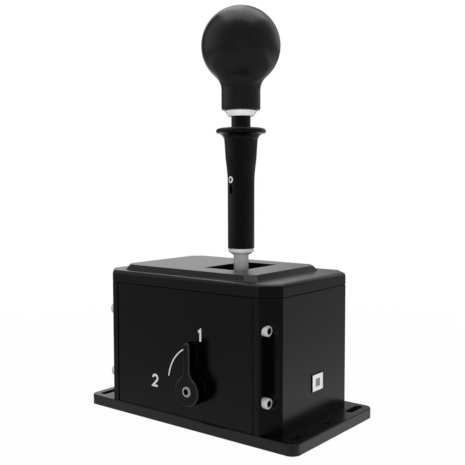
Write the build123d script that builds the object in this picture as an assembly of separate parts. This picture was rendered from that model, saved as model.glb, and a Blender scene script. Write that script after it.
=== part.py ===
from build123d import *
import os
from math import atan2, cos, hypot, radians, sin, sqrt, tan

# Sim racing gear shifter, in millimetres.
# X runs fore and aft, Z is up, and the mode lever is on the -Y side.
# The origin is on the underside of the base plate, below the middle of the housing.

# Housing
plate_length = 180
plate_width = 99
plate_thick = 7
plate_corner = 6
plate_shift = 1
body_length = 149.3
body_width = 97
wall_height = 85
corner_chamfer = 10.5
cap_thick = 15.2
side_thick = 9.4
panel_inset = 0.4
cover_rise = 8.5
plateau_rise = 3.5
edge_ease = 0.5
seam_ease = 0.4

# Stick, gimbal and their travel
stick_x = 13.5
pivot_height = 21
select_angle = 11.5
shift_angle = 6.5
lane_count = 5
shaft_r = 5.2
knob_r = 27.1
lockout_lift = 4.5
mode_turn = 90
mode_travel = 5

# Clearances
press_gap = 0.02
screw_gap = 0.05
running_gap = 0.05
slide_gap = 0.3
face_gap = 0.2
overrun = 1

# Places worked out from the driving sizes
plate_top = plate_thick
seam = plate_top + wall_height
shelf = seam + cover_rise
plateau_top = shelf + plateau_rise
cap_outer = body_length / 2
cap_inner = cap_outer - cap_thick
flank = body_width / 2
side_outer = flank - panel_inset
side_inner = flank - side_thick
side_mid = (side_outer + side_inner) / 2
pivot_z = plate_top + pivot_height
select_tan = tan(radians(select_angle))
shift_tan = tan(radians(shift_angle))
select_cos = cos(radians(select_angle))
shift_cos = cos(radians(shift_angle))

up = (0, 0, 1)
down = (0, 0, -1)


def block(x0, x1, y0, y1, z0, z1):
    """A box between two opposite corners."""
    centre = ((x0 + x1) / 2, (y0 + y1) / 2, (z0 + z1) / 2)
    return Pos(*centre) * Box(abs(x1 - x0), abs(y1 - y0), abs(z1 - z0))


def rod(radius, foot, direction, length):
    """A round bar that starts at foot and runs along direction."""
    frame = Plane(origin=foot, z_dir=direction)
    return frame * Cylinder(radius, length, align=(Align.CENTER, Align.CENTER, Align.MIN))


def tube(outer_r, inner_r, foot, direction, length):
    """A round bar with a bore right through it."""
    frame = Plane(origin=foot, z_dir=direction)
    ring = Circle(outer_r) - Circle(inner_r)
    return extrude(frame * ring, length)


def turned(points, centre=(0, 0, 0), direction=up):
    """A turned piece from (radius, height) points, along direction."""
    outline = Polyline(*[(r, 0, h) for r, h in points], close=True)
    solid = revolve(make_face(outline), Axis.Z)
    return Plane(origin=centre, z_dir=direction) * solid


def cap_screw(size, seat, direction, length):
    """A socket head screw whose head stands on seat and points along direction."""
    head = [(0, 0), (size.head_r, 0), (size.head_r, size.head_h - size.ease)]
    head += [(size.head_r - size.ease, size.head_h), (0, size.head_h)]
    body = turned(head) + rod(size.shank_r, (0, 0, 0), down, length)
    socket = extrude(RegularPolygon(size.socket_r, 6), size.socket_deep)
    body -= Pos(0, 0, size.head_h - size.socket_deep) * socket
    return Plane(origin=seat, z_dir=direction) * body


def flat_screw(size, face, direction, length):
    """A countersunk screw with its head flush with face."""
    cone = size.head_r - size.shank_r
    points = [(0, 0), (size.head_r, 0), (size.shank_r, -cone), (size.shank_r, -length), (0, -length)]
    body = turned(points)
    socket = extrude(RegularPolygon(size.socket_r, 6), size.socket_deep)
    body -= Pos(0, 0, -size.socket_deep) * socket
    return Plane(origin=face, z_dir=direction) * body


def flat_hole(size, face, direction, depth):
    """The hole that a flat_screw lies in."""
    reach = size.head_r + screw_gap
    hole_r = size.shank_r + screw_gap
    points = [(0, overrun), (reach, overrun), (reach, 0), (hole_r, hole_r - reach), (hole_r, -depth)]
    return turned(points + [(0, -depth)], face, direction)


class Screw:
    """Head and thread sizes of one screw."""

    def __init__(self, shank_r, head_r, head_h, socket_r, socket_deep, ease):
        self.shank_r = shank_r
        self.head_r = head_r
        self.head_h = head_h
        self.socket_r = socket_r
        self.socket_deep = socket_deep
        self.ease = ease


m4_cap = Screw(shank_r=2, head_r=3.5, head_h=4, socket_r=1.75, socket_deep=2, ease=0.4)
m4_flat = Screw(shank_r=2, head_r=4, head_h=2, socket_r=1.45, socket_deep=1.4, ease=0.2)
m3_cap = Screw(shank_r=1.5, head_r=2.75, head_h=3, socket_r=1.45, socket_deep=1.5, ease=0.3)

base_screw_length = 15
inner_screw_length = 8
thin_screw_length = 5.5
corner_screw_length = 16

nodes = {}


def keep(name, *solids):
    """Store one node, made of one or more solids."""
    shapes = []
    for solid in solids:
        shapes += solid.solids()
    node = shapes[0] if len(shapes) == 1 else Compound(children=shapes)
    node.label = name
    nodes[name] = node


# Base plate, with three fixing holes at each end
slot_inset = 8
slot_r = 2.75
slot_length = 18
slot_y = 36
plate_edge = 0.6

slot_x = plate_length / 2 - slot_inset
cap_mid = cap_outer - cap_thick / 2
cap_foot_y = flank / 2
side_foot_x = cap_inner * 3 / 4

# Bearing blocks and the gimbal ring between them
yoke_half = 20
yoke_r = 22
yoke_half_height = 10
yoke_bore_x = 12.5
yoke_bore_y = 13.2
block_gap = 4
block_thick = 10.5
block_half = 13
block_over_pivot = 12
block_screw_y = 8.5
bearing_r = 7
bearing_thick = 4
pin_r = 4
relief_r = 5

block_near = yoke_half + block_gap
block_far = block_near + block_thick
block_mid = (block_near + block_far) / 2
block_top = pivot_z + block_over_pivot

base_screw_places = []
for end in (-1, 1):
    for side in (-1, 1):
        base_screw_places.append((end * cap_mid, side * cap_foot_y))
        base_screw_places.append((end * side_foot_x, side * side_mid))
        base_screw_places.append((stick_x + end * block_mid, side * block_screw_y))


def base_plate():
    outline = RectangleRounded(plate_length, plate_width, plate_corner)
    plate = extrude(Pos(plate_shift, 0, 0) * outline, plate_thick)
    plate = chamfer(plate.faces().sort_by(Axis.Z)[-1].edges(), plate_edge)
    slot = Rot(0, 0, 90) * SlotOverall(slot_length, slot_r * 2)
    for end in (-1, 1):
        for side in (-1, 1):
            plate -= Pos(plate_shift + end * slot_x, side * slot_y, 0) * extrude(slot, plate_thick)
        plate -= rod(slot_r, (plate_shift + end * slot_x, 0, 0), up, plate_thick)
    for x, y in base_screw_places:
        plate -= flat_hole(m4_flat, (x, y, 0), down, base_screw_length)
    return plate


keep("base_plate", base_plate())
keep("base_screws", *[flat_screw(m4_flat, (x, y, 0), down, base_screw_length) for x, y in base_screw_places])

# End caps: a chamfered plate with a milled pocket for the screw heads down each corner
screw_pocket_r = 3.8
screw_seat_deep = 10.2
screw_margin = 20
cap_face = 6
cap_wall = 12.5
cap_rim = 8
corner_screw_z = (plate_top + screw_margin, seam - screw_margin)
screw_seat = cap_outer - screw_seat_deep

# Data socket and its board, in the rear cap
socket_wide = 9
socket_high = 3.3
socket_length = 7.4
socket_wall = 0.4
socket_over_plate = 25
tongue_thick = 0.7
tongue_length = 5
board_thick = 1.6
board_half = 22
board_half_height = 15
standoff_r = 3
standoff_length = 1.7
board_hole_inset = 4
board_hole_r = 1.6

socket_z = plate_top + socket_over_plate


def end_cap(end):
    half = body_width / 2
    outline = Rectangle(cap_thick, body_width)
    cap = extrude(Pos(cap_inner + cap_thick / 2, 0, plate_top) * outline, wall_height)
    corners = cap.edges().filter_by(Axis.Z).group_by(Axis.X)[-1]
    cap = chamfer(corners, corner_chamfer)
    top_edges = cap.edges().group_by(Axis.Z)[-1]
    cap = chamfer(top_edges.filter_by(lambda e: e.center().X > cap_inner + seam_ease), seam_ease)
    cap -= block(cap_inner - overrun, cap_outer - cap_face, cap_wall - half, half - cap_wall,
                 plate_top + cap_rim, seam - cap_rim)
    pocket = SlotCenterToCenter(corner_screw_z[1] - corner_screw_z[0], screw_pocket_r * 2)
    pocket_mid = (corner_screw_z[0] + corner_screw_z[1]) / 2
    for side in (-1, 1):
        face = Plane(origin=(screw_seat, side * side_mid, pocket_mid), x_dir=up, z_dir=(1, 0, 0))
        cap -= extrude(face * pocket, cap_thick)
        for z in corner_screw_z:
            cap -= rod(m4_cap.shank_r + screw_gap, (cap_inner - overrun, side * side_mid, z), (1, 0, 0), cap_thick)
        cap -= rod(m4_flat.shank_r + screw_gap, (cap_mid, side * cap_foot_y, plate_top - overrun), up,
                   base_screw_length - plate_top + overrun)
    return cap if end > 0 else Rot(0, 0, 180) * cap


cap_pocket = cap_outer - cap_face
board_face = cap_pocket - standoff_length
board_y = board_half - board_hole_inset
board_z = board_half_height - board_hole_inset
board_hole_places = [(-board_face, y, socket_z + z) for y in (-board_y, board_y) for z in (-board_z, board_z)]
back = (-1, 0, 0)


def rear_end_cap():
    cap = end_cap(-1)
    for x, y, z in board_hole_places:
        cap += rod(standoff_r, (x, y, z), back, standoff_length)
        cap -= rod(board_hole_r - screw_gap, (x, y, z), back, standoff_length + cap_face / 2)
    port = RectangleRounded(socket_wide + slide_gap * 2, socket_high + slide_gap * 2, socket_high / 2)
    face = Plane(origin=(-cap_pocket + overrun, 0, socket_z), x_dir=(0, 1, 0), z_dir=back)
    return cap - extrude(face * port, cap_face + overrun * 2)


def corner_screw(end, side, z):
    seat = (end * screw_seat, side * side_mid, z)
    return cap_screw(m4_cap, seat, (end, 0, 0), corner_screw_length)


keep("front_end_cap", end_cap(1))
keep("rear_end_cap", rear_end_cap())
keep("corner_screws", *[corner_screw(end, side, z) for end in (-1, 1) for side in (-1, 1) for z in corner_screw_z])

# Deck under the cover, which carries the gate, and the rails that hold it
deck_thick = 3
deck_drop = 9
rail_wide = 6
rail_high = 8
rail_inset = 9
boss_inset = 9
boss_side_inset = 11.6
deck_inset = 2
deck_top = seam - deck_drop
deck_foot = deck_top - deck_thick
rail_foot = deck_foot - rail_high
deck_half = cap_inner - deck_inset
boss_x = cap_inner - boss_inset
boss_y = side_inner - boss_side_inset
rail_half = cap_inner - rail_inset
rail_screw_x = rail_half * 4 / 5
rail_screw_z = rail_foot + rail_high / 2
deck_screw_x = rail_half * 9 / 10
deck_screw_y = side_inner - rail_wide / 2
boss_r = 4

# Mode lever's guide, screwed to the inside of the lever's side plate
guide_half = 14
guide_half_height = 10
guide_length = 9.6
guide_screw_x = 10.9
plunger_r = 7.8
plunger_flat = 6.4
bush_r = 6
bush_flange_r = 8.5
bush_flange = 1.2


def side_plate(side):
    plate = block(-cap_inner, cap_inner, side * side_inner, side * side_outer, plate_top, seam)
    outer = plate.faces().sort_by(Axis.Y)[-1 if side > 0 else 0]
    plate = chamfer(outer.edges().filter_by(Axis.Z), edge_ease)
    top_edge = plate.edges().group_by(Axis.Z)[-1].sort_by(Axis.Y)[-1 if side > 0 else 0]
    plate = chamfer(top_edge, seam_ease)
    for end in (-1, 1):
        hole_r = m4_cap.shank_r + screw_gap
        for z in corner_screw_z:
            plate -= rod(hole_r, (end * (cap_inner + overrun), side * side_mid, z), (-end, 0, 0), corner_screw_length)
        plate -= rod(m4_flat.shank_r + screw_gap, (end * side_foot_x, side * side_mid, plate_top - overrun), up,
                     base_screw_length - plate_top + overrun)
        hole_r = m3_cap.shank_r + screw_gap
        plate -= rod(hole_r, (end * rail_screw_x, side * (side_inner - overrun), rail_screw_z), (0, side, 0),
                     inner_screw_length)
    return plate


def lever_side_plate():
    plate = side_plate(-1)
    plate -= rod(bush_r + press_gap, (stick_x, -side_outer - overrun, pivot_z), (0, 1, 0), side_thick + overrun * 2)
    for end in (-1, 1):
        foot = (stick_x + end * guide_screw_x, -side_inner + overrun, pivot_z)
        plate -= rod(m3_cap.shank_r + screw_gap, foot, (0, -1, 0), inner_screw_length)
    return plate


keep("lever_side_plate", lever_side_plate())
keep("plain_side_plate", side_plate(1))

# Gate: a steel plate with one cross slot for each lane, and the pin that runs in it
gate_thick = 2.5
gate_pin_r = 1.75
gate_pin_root_r = 2.5
gate_reach = 42
gate_slot_gap = 0.2
gate_margin = 6
arm_over_pivot = 24
arm_high = 8
arm_half = 5
clamp_r = 9
pin_root_over = 12
pin_tip_over = 5.5
window_gap = 1.5
gate_z = deck_top + gate_thick / 2
gate_height = gate_z - pivot_z


def pin_x(shift, select, height):
    """Where the gate pin's centre line crosses a level, fore and aft of the stick."""
    theta, phi = radians(shift), radians(select)
    return -gate_reach / cos(theta) + height * tan(theta) / cos(phi)


def gate_cuts(low, high, height):
    """The neutral channel and the lanes, cut between two levels."""
    lane_half = (gate_pin_r / select_cos + (high - low) / 2 * select_tan) + gate_slot_gap
    end_room = gate_pin_r / shift_cos + (high - low) / 2 * shift_tan + gate_slot_gap
    step = select_angle * 2 / (lane_count - 1)
    cuts = block(stick_x - gate_reach - lane_half, stick_x - gate_reach + lane_half,
                 -height * select_tan - lane_half, height * select_tan + lane_half, low - overrun, high + overrun)
    rear = stick_x + pin_x(-shift_angle, select_angle, height) - end_room
    front = stick_x + pin_x(shift_angle, select_angle, height) + end_room
    for lane in range(lane_count):
        y = height * tan(radians(lane * step - select_angle))
        slot = RectangleRounded(front - rear, lane_half * 2, lane_half * 0.9)
        slot = Pos((rear + front) / 2, y, low - overrun) * slot
        cuts += extrude(slot, high - low + overrun * 2)
    return cuts


gate_edge_x = (stick_x - gate_reach - gate_height * shift_tan - gate_margin * 2,
               stick_x - gate_reach + gate_height * shift_tan + gate_margin * 2)
gate_half = gate_height * select_tan + gate_margin
gate_screw_places = [(gate_edge_x[0] + gate_margin / 2, y) for y in (-gate_half / 2, gate_half / 2)]
gate_screw_places += [(gate_edge_x[1] - gate_margin / 2, y) for y in (-gate_half / 2, gate_half / 2)]

# Detent block under the deck: three grooves that a sprung ball falls into
detent_reach = 22
ball_r = 2
groove_deep = 0.9
detent_near = 13.5
detent_far = 30
detent_half = 13
detent_screw_reach = 18
detent_web = 1.6
detent_r = hypot(deck_foot - pivot_z - detent_web, detent_near)
ball_line_r = detent_r - slide_gap - ball_r
ball_z = sqrt(ball_line_r ** 2 - detent_reach ** 2)
ball_lean = atan2(-detent_reach, ball_z)
detent_screw_places = [(stick_x - detent_screw_reach, y) for y in (-detent_half * 3 / 4, detent_half * 3 / 4)]


def detent_block():
    shape = block(stick_x - detent_far, stick_x - detent_near, -detent_half, detent_half,
                  pivot_z + sqrt(detent_r ** 2 - detent_far ** 2) - ball_r, deck_foot)
    across = (0, 1, 0)
    foot_y = -detent_half - overrun
    length = detent_half * 2 + overrun * 2
    shape -= rod(detent_r, (stick_x, foot_y, pivot_z), across, length)
    for notch in (-1, 0, 1):
        lean = ball_lean + notch * radians(shift_angle)
        line_r = detent_r + groove_deep - ball_r
        foot = (stick_x + line_r * sin(lean), foot_y, pivot_z + line_r * cos(lean))
        shape -= rod(ball_r, foot, across, length)
    for x, y in detent_screw_places:
        shape -= rod(m3_cap.shank_r + screw_gap, (x, y, deck_foot + overrun), down,
                     thin_screw_length - deck_thick + overrun)
    return shape


def deck_plate():
    plate = block(-deck_half, deck_half, face_gap - side_inner, side_inner - face_gap, deck_foot, deck_top)
    rise = deck_top - pivot_z
    half_x = rise * shift_tan + shaft_r / shift_cos + window_gap
    half_y = rise * select_tan + shaft_r / select_cos + window_gap
    plate -= block(stick_x - half_x, stick_x + half_x, -half_y, half_y, deck_foot - overrun, deck_top + overrun)
    low_x = stick_x + pin_x(-shift_angle, select_angle, rise) - gate_pin_root_r - window_gap
    high_x = stick_x + pin_x(shift_angle, select_angle, rise) + gate_pin_root_r + window_gap
    half_y = rise * select_tan + gate_pin_root_r + window_gap
    plate -= block(low_x, high_x, -half_y, half_y, deck_foot - overrun, deck_top + overrun)
    places = gate_screw_places + detent_screw_places
    places += [(end * deck_screw_x, side * deck_screw_y) for end in (-1, 1) for side in (-1, 1)]
    places += [(end * boss_x, side * boss_y) for end in (-1, 1) for side in (-1, 1)]
    for x, y in places:
        plate -= rod(m3_cap.shank_r + screw_gap, (x, y, deck_foot - overrun), up, deck_thick + overrun * 2)
    return plate


def deck_rail(side):
    rail = block(-rail_half, rail_half, side * side_inner, side * (side_inner - rail_wide), rail_foot, deck_foot)
    for end in (-1, 1):
        rail -= rod(m3_cap.shank_r + screw_gap, (end * rail_screw_x, 0, rail_screw_z), (0, side, 0), flank)
        rail -= rod(m3_cap.shank_r + screw_gap, (end * deck_screw_x, side * deck_screw_y, deck_foot + overrun), down,
                    inner_screw_length)
    return rail


def gate_plate():
    plate = block(*gate_edge_x, -gate_half, gate_half, deck_top, deck_top + gate_thick)
    plate -= gate_cuts(deck_top, deck_top + gate_thick, gate_height)
    for x, y in gate_screw_places:
        plate -= rod(m3_cap.shank_r + screw_gap, (x, y, deck_top - overrun), up, gate_thick + overrun * 2)
    return plate


keep("deck_plate", deck_plate())
keep("deck_rails", deck_rail(-1), deck_rail(1))
keep("gate_plate", gate_plate())
keep("detent_block", detent_block())

# Bearing blocks
for name, end in (("front_bearing_block", 1), ("rear_bearing_block", -1)):
    near, far = stick_x + end * block_near, stick_x + end * block_far
    shape = block(near, far, -block_half, block_half, plate_top, block_top)
    shape = chamfer(shape.edges().filter_by(Axis.X).group_by(Axis.Z)[-1], edge_ease * 6)
    shape -= rod(bearing_r + press_gap, (near - end * overrun, 0, pivot_z), (end, 0, 0), bearing_thick + overrun)
    shape -= rod(relief_r, (near, 0, pivot_z), (end, 0, 0), block_thick + overrun)
    for side in (-1, 1):
        foot = (stick_x + end * block_mid, side * block_screw_y, plate_top - overrun)
        shape -= rod(m4_flat.shank_r + screw_gap, foot, up, base_screw_length - plate_top + overrun)
    keep(name, shape)


def bearing(face, direction):
    """A ball bearing as its outer shape: two rings with a shallow groove between them."""
    bore_r = pin_r + running_gap
    mid_r = (bore_r + bearing_r) / 2
    land = (bearing_r - bore_r) / 4
    points = [(bore_r, 0), (mid_r - land / 2, 0), (mid_r - land / 2, face_gap), (mid_r + land / 2, face_gap)]
    points += [(mid_r + land / 2, 0), (bearing_r, 0), (bearing_r, bearing_thick), (bore_r, bearing_thick)]
    return turned(points, face, direction)


keep("select_bearings", *[bearing((stick_x + end * block_near, 0, pivot_z), (end, 0, 0)) for end in (-1, 1)])

# Gimbal ring, its pins, and the bearings for the cross shaft
magnet_r = 3
magnet_thick = 1.5
chip_half = 2
chip_thick = 0.8
sensor_half = 8
sensor_half_height = 7
cross_end = 18.2
cross_magnet_end = 17.2
yoke_flat = 20.3
dimple_r = 2
dimple_deep = 1
spacer_r = 6
pivot_pin_end = block_near + bearing_thick + 2.5 * pin_r / 4
spring_y = 17
spring_r = 4
spring_wire = 0.9
shift_bearing_face = yoke_bore_y


def yoke():
    ring = rod(yoke_r, (stick_x - yoke_half, 0, pivot_z), (1, 0, 0), yoke_half * 2)
    low, high = pivot_z - yoke_half_height, pivot_z + yoke_half_height
    ring = ring & block(stick_x - yoke_half, stick_x + yoke_half, -yoke_r, yoke_r, low, high)
    ring -= block(stick_x - yoke_bore_x, stick_x + yoke_bore_x, -yoke_bore_y, yoke_bore_y,
                  low - overrun, high + overrun)
    ring -= block(stick_x - yoke_half - overrun, stick_x + yoke_half + overrun, yoke_flat, yoke_r + overrun,
                  low - overrun, high + overrun)
    for side in (-1, 1):
        ring -= rod(bearing_r + press_gap, (stick_x, 0, pivot_z), (0, side, 0), yoke_bore_y + bearing_thick)
    ring -= rod(pin_r + slide_gap, (stick_x, 0, pivot_z), (0, -1, 0), cross_end + slide_gap)
    ring -= rod(pin_r + slide_gap, (stick_x, 0, pivot_z), (0, 1, 0), yoke_r)
    for end in (-1, 1):
        ring -= rod(pin_r + press_gap, (stick_x, 0, pivot_z), (end, 0, 0), yoke_half + overrun)
    dimple = turned([(0, 0), (dimple_r, 0), (0, dimple_deep)], (stick_x, -yoke_r, pivot_z), (0, 1, 0))
    return ring - dimple


def pivot_pin(end):
    length = pivot_pin_end - yoke_bore_x
    return rod(pin_r, (stick_x + end * yoke_bore_x, 0, pivot_z), (end, 0, 0), length)


def pivot_spacer(end):
    foot = (stick_x + end * yoke_half, 0, pivot_z)
    return tube(spacer_r, pin_r + press_gap, foot, (end, 0, 0), block_gap - face_gap)


keep("yoke", yoke())
keep("pivot_pins", pivot_pin(-1), pivot_pin(1))
keep("pivot_spacers", pivot_spacer(-1), pivot_spacer(1))
keep("shift_bearings", *[bearing((stick_x, side * shift_bearing_face, pivot_z), (0, side, 0)) for side in (-1, 1)])
keep("select_magnet", rod(magnet_r, (stick_x - pivot_pin_end, 0, pivot_z), back, magnet_thick))


def sensor_board(face, direction, x_dir):
    """A small board whose chip looks back through the hole at the magnet."""
    frame = Plane(origin=face, x_dir=x_dir, z_dir=direction)
    card = extrude(Rectangle(sensor_half * 2, sensor_half_height * 2), board_thick)
    chip = extrude(Rectangle(chip_half * 2, chip_half * 2), -chip_thick)
    return [frame * card, frame * chip]


select_board_x = stick_x - block_far
keep("select_sensor_board", *sensor_board((select_board_x, 0, pivot_z), back, (0, 1, 0)))
keep("shift_sensor_board", *sensor_board((stick_x, yoke_flat, pivot_z), (0, 1, 0), (1, 0, 0)))


def coil_sleeve(outer_r, wire, foot, direction, length):
    """A hidden spring as the sleeve that it fills."""
    return tube(outer_r, outer_r - wire, foot, direction, length)


centring_length = pivot_z - yoke_half_height - plate_top
for name, side in (("lever_side_spring", -1), ("plain_side_spring", 1)):
    keep(name, coil_sleeve(spring_r, spring_wire, (stick_x, side * spring_y, plate_top), up, centring_length))

# Stick: hub and cross shaft in the ring, then the shaft with everything it carries
hub_half = 10
hub_half_y = 12
hub_half_height = 9
hub_boss_r = 9
hub_boss_top = 20
washer_r = 7.5
washer_thick = 1
shaft_foot = 5
hub_pin_r = 1.5
hub_pin_over = 15
collar_over_plateau = 8
collar_height = 4.6
collar_cone = 2.3
collar_r = 8.8
sleeve_height = 82.7
neck_gap = 8
neck_r = 6.65
ring_height = 3.9
ring_top_r = 11.3
ring_foot_r = 8.7
knob_height = 70.7
knob_neck_r = 13.4
knob_blend = 12
knob_edge = 1.5
stud_r = 5
stud_length = 20
insert_r = 7.5
adapter_foot_over = 35.2

collar_foot = plateau_top + collar_over_plateau
sleeve_foot = collar_foot + collar_height
sleeve_top = sleeve_foot + sleeve_height
ring_foot = sleeve_top + neck_gap
knob_foot = ring_foot + ring_height
adapter_foot = sleeve_foot + adapter_foot_over
shaft_top = sleeve_top


def on_stick(z):
    return (stick_x, 0, z)


def stick_hub():
    hub = block(stick_x - hub_half, stick_x + hub_half, -hub_half_y, hub_half_y,
                pivot_z - hub_half_height, pivot_z + hub_half_height)
    hub = chamfer(hub.edges().filter_by(Axis.Y), edge_ease * 3)
    hub += rod(hub_boss_r, on_stick(pivot_z), up, hub_boss_top)
    hub -= rod(pin_r + press_gap, (stick_x, -hub_half_y - overrun, pivot_z), (0, 1, 0), (hub_half_y + overrun) * 2)
    hub -= rod(shaft_r + press_gap, on_stick(pivot_z + shaft_foot), up, hub_boss_top)
    hub -= rod(hub_pin_r + press_gap, (stick_x - hub_boss_r - overrun, 0, pivot_z + hub_pin_over), (1, 0, 0),
               (hub_boss_r + overrun) * 2)
    return hub


cross_length = cross_end + cross_magnet_end
hub_washer_faces = [(stick_x, side * hub_half_y, pivot_z) for side in (-1, 1)]
keep("stick_hub", stick_hub())
keep("cross_shaft", rod(pin_r, (stick_x, -cross_end, pivot_z), (0, 1, 0), cross_length))
keep("hub_washers", *[tube(washer_r, pin_r + press_gap, face, (0, face[1], 0), washer_thick)
                      for face in hub_washer_faces])
keep("hub_pin", rod(hub_pin_r, (stick_x - hub_boss_r, 0, pivot_z + hub_pin_over), (1, 0, 0), hub_boss_r * 2))
keep("shift_magnet", rod(magnet_r, (stick_x, cross_magnet_end, pivot_z), (0, 1, 0), magnet_thick))


def stick_shaft():
    foot = pivot_z + shaft_foot
    shaft = rod(shaft_r, on_stick(foot), up, shaft_top - foot)
    shaft = chamfer(shaft.edges().sort_by(Axis.Z)[-1], edge_ease)
    hole_foot = (stick_x - shaft_r - overrun, 0, pivot_z + hub_pin_over)
    return shaft - rod(hub_pin_r + press_gap, hole_foot, (1, 0, 0), (shaft_r + overrun) * 2)


keep("stick_shaft", stick_shaft())

# Arm clamped to the shaft, with the gate pin and the sprung detent ball
arm_foot = pivot_z + arm_over_pivot
arm_top = arm_foot + arm_high
arm_end = gate_reach + gate_pin_root_r * 2
pin_root_top = arm_top + pin_root_over
pin_tip = deck_top + gate_thick + pin_tip_over
holder_r = 3.2
holder_top = pivot_z + ball_z
ball_bore_r = ball_r + running_gap
arm_screw_r = 2


def gate_arm():
    arm = rod(clamp_r, on_stick(arm_foot), up, arm_high)
    bar = extrude(Pos(stick_x - arm_end / 2, 0, arm_foot) * RectangleRounded(arm_end, arm_half * 2, edge_ease * 6),
                  arm_high)
    arm += bar
    arm -= rod(shaft_r + press_gap, on_stick(arm_foot - overrun), up, arm_high + overrun * 2)
    arm -= rod(gate_pin_root_r + press_gap, (stick_x - gate_reach, 0, arm_foot - overrun), up, arm_high + overrun * 2)
    arm -= rod(holder_r + press_gap, (stick_x - detent_reach, 0, arm_foot - overrun), up, arm_high + overrun * 2)
    arm -= rod(arm_screw_r + press_gap, on_stick(arm_foot + arm_high / 2), (1, 0, 0), clamp_r + overrun)
    return arm


def gate_pin():
    root = rod(gate_pin_root_r, (stick_x - gate_reach, 0, arm_foot), up, pin_root_top - arm_foot)
    tip = rod(gate_pin_r, (stick_x - gate_reach, 0, pin_root_top), up, pin_tip - pin_root_top)
    pin = root + tip
    return chamfer(pin.edges().sort_by(Axis.Z)[-1], edge_ease)


def detent_holder():
    holder = rod(holder_r, (stick_x - detent_reach, 0, arm_foot), up, holder_top - arm_foot)
    bore_foot = (stick_x - detent_reach, 0, arm_foot + ball_r)
    return holder - rod(ball_bore_r, bore_foot, up, holder_top)


detent_spring_foot = arm_foot + ball_r
detent_spring_length = pivot_z + ball_z - ball_r - detent_spring_foot
keep("gate_arm", gate_arm())
keep("arm_screw", rod(arm_screw_r, (stick_x + shaft_r, 0, arm_foot + arm_high / 2), (1, 0, 0), clamp_r - shaft_r))
keep("gate_pin", gate_pin())
keep("detent_holder", detent_holder())
keep("detent_spring", coil_sleeve(ball_r - face_gap, ball_r / 4, (stick_x - detent_reach, 0, detent_spring_foot), up,
                                  detent_spring_length))
keep("detent_ball", Pos(stick_x - detent_reach, 0, pivot_z + ball_z) * Sphere(ball_r))

# Dust shield: a domed plate that follows the stick under the cover's opening
shield_drop = 4.3
shield_thick = 1.5
shield_half_x = 19
shield_half_y = 22
shield_ring_r = 8
shield_ring_height = 3
shield_r = plateau_top - shield_drop - pivot_z
shield_ring_top = pivot_z + sqrt((shield_r - shield_thick) ** 2 - shield_ring_r ** 2)


def dust_shield():
    dome = Pos(*on_stick(pivot_z)) * (Sphere(shield_r) - Sphere(shield_r - shield_thick))
    foot = extrude(Pos(*on_stick(pivot_z)) * RectangleRounded(shield_half_x * 2, shield_half_y * 2, shield_half_x / 4),
                   shield_r + overrun)
    dome = dome & foot
    return dome - rod(shaft_r + press_gap, on_stick(pivot_z), up, shield_r + overrun)


def shield_ring():
    return tube(shield_ring_r, shaft_r + press_gap, on_stick(shield_ring_top - shield_ring_height), up,
                shield_ring_height)


keep("dust_shield", dust_shield())
keep("shield_ring", shield_ring())

# Collar, adapter and lock ring on the shaft
bore_r = shaft_r + press_gap
keep("stick_collar", turned([(bore_r, 0), (shaft_r + edge_ease / 2, 0), (collar_r, collar_cone),
                             (collar_r, collar_height), (bore_r, collar_height)], on_stick(collar_foot)))


# Lift sleeve for the reverse lockout: a trumpet-flanged tube that slides on the adapter
sleeve_foot_r = 9
sleeve_r = 9.25
sleeve_mid_r = 9.7
sleeve_upper_r = 10.7
sleeve_throat_r = 11.6
flange_r = 17.2
flange_edge = 1.4
sleeve_waist_share = 0.52
sleeve_mid_share = 0.64
sleeve_upper_share = 0.75
sleeve_throat_share = 0.905
flange_low_share = 0.955
sleeve_wall = 2
sleeve_bush_height = 9
stop_pin_r = 0.9
stop_slot_half = 1.5
stop_over = 43.3
stop_turn = 12
sleeve_cavity_r = sleeve_r - sleeve_wall
sleeve_lip = 12

stop_z = sleeve_foot + stop_over
stop_side = (-sin(radians(stop_turn)), -cos(radians(stop_turn)), 0)
stop_slot_foot = stop_z - lockout_lift - stop_pin_r - face_gap
stop_slot_top = stop_z + stop_pin_r + face_gap


def lockout_sleeve():
    h = sleeve_height
    side = Spline((sleeve_r, 0, h * sleeve_waist_share), (sleeve_mid_r, 0, h * sleeve_mid_share),
                  (sleeve_upper_r, 0, h * sleeve_upper_share), (sleeve_throat_r, 0, h * sleeve_throat_share),
                  tangents=((0, 0, 1), (sleeve_upper_r - sleeve_mid_r, 0, h * (sleeve_upper_share - sleeve_mid_share))))
    flare = ThreePointArc((sleeve_throat_r, 0, h * sleeve_throat_share),
                          ((sleeve_throat_r * 0.72 + flange_r * 0.28), 0, h * (sleeve_throat_share * 0.35
                                                                             + flange_low_share * 0.65)),
                          (flange_r - flange_edge / 2, 0, h * flange_low_share))
    rim = ThreePointArc((flange_r - flange_edge / 2, 0, h * flange_low_share), (flange_r, 0, h * flange_low_share
                                                                               + flange_edge),
                        (flange_r - flange_edge, 0, h - flange_edge / 4))
    base = Polyline((flange_r - flange_edge, 0, h - flange_edge / 4), (flange_r - flange_edge * 2, 0, h),
                    (neck_r + running_gap, 0, h), (neck_r + running_gap, 0, 0), (sleeve_foot_r, 0, 0),
                    (sleeve_r, 0, edge_ease), (sleeve_r, 0, h * sleeve_waist_share))
    face = make_face([side, flare, rim, base])
    sleeve = Pos(*on_stick(sleeve_foot)) * revolve(face, Axis.Z)
    sleeve -= rod(sleeve_cavity_r, on_stick(sleeve_foot - overrun), up, adapter_foot - sleeve_foot + lockout_lift
                  + overrun)
    slot_high = stop_slot_top - stop_slot_foot
    slot = Plane(origin=(stick_x, 0, (stop_slot_top + stop_slot_foot) / 2), x_dir=up, z_dir=stop_side)
    return sleeve - extrude(slot * SlotOverall(slot_high, stop_slot_half * 2), sleeve_r + overrun)


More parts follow.
